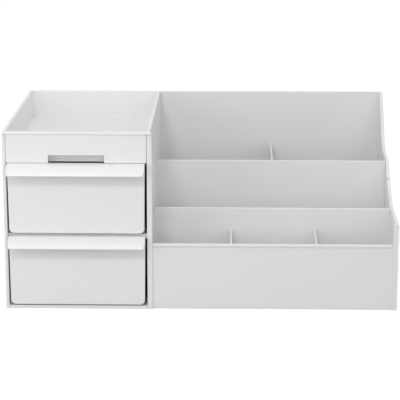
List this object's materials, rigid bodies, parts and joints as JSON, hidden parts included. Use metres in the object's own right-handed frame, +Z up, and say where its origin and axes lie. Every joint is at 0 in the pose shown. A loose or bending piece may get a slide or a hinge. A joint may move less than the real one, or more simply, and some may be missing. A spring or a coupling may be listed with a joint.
{
  "type": "makeup organizer",
  "caption": "Desktop makeup organizer: drawers with curled lips under a lift-out tray, beside an open holder with stepped compartments and a wave-shaped side wall.",
  "frame": {"origin": "on the surface that it stands on, under the centre of its box", "axes": "+X to the right seen from the front, the drawers open towards -Y, +Z up"},
  "size_m": [0.325, 0.2068, 0.15],
  "materials": {
    "body_white": "satin white moulded plastic",
    "moulding_white": "satin white moulded plastic, a little smoother on the drawers and tray"
  },
  "bodies": {
    "root": {"left_wall": "body_white", "partition_wall": "body_white", "right_wall": "body_white", "base_plate": "body_white", "back_wall": "body_white", "front_panel": "body_white", "middle_panel": "body_white", "rear_panel": "body_white", "drawer_shelf": "body_white"},
    "upper_drawer": {"upper_drawer": "moulding_white"},
    "lower_drawer": {"lower_drawer": "moulding_white"},
    "top_tray": {"top_tray": "moulding_white"},
    "rear_divider": {"rear_divider": "body_white"},
    "front_divider_left": {"front_divider_left": "body_white"},
    "front_divider_right": {"front_divider_right": "body_white"}
  },
  "joints": [
    {"name": "upper_drawer_slide", "type": "slide", "parent": "root", "child": "upper_drawer", "axis": [0, -1, 0], "range_m": [0, 0.145]},
    {"name": "lower_drawer_slide", "type": "slide", "parent": "root", "child": "lower_drawer", "axis": [0, -1, 0], "range_m": [0, 0.145]},
    {"name": "tray_lift", "type": "slide", "parent": "root", "child": "top_tray", "axis": [0, 0, 1], "range_m": [0, 0.04]},
    {"name": "rear_divider_lift", "type": "slide", "parent": "root", "child": "rear_divider", "axis": [0, 0, 1], "range_m": [0, 0.1]},
    {"name": "front_divider_left_lift", "type": "slide", "parent": "root", "child": "front_divider_left", "axis": [0, 0, 1], "range_m": [0, 0.052]},
    {"name": "front_divider_right_lift", "type": "slide", "parent": "root", "child": "front_divider_right", "axis": [0, 0, 1], "range_m": [0, 0.052]}
  ]
}
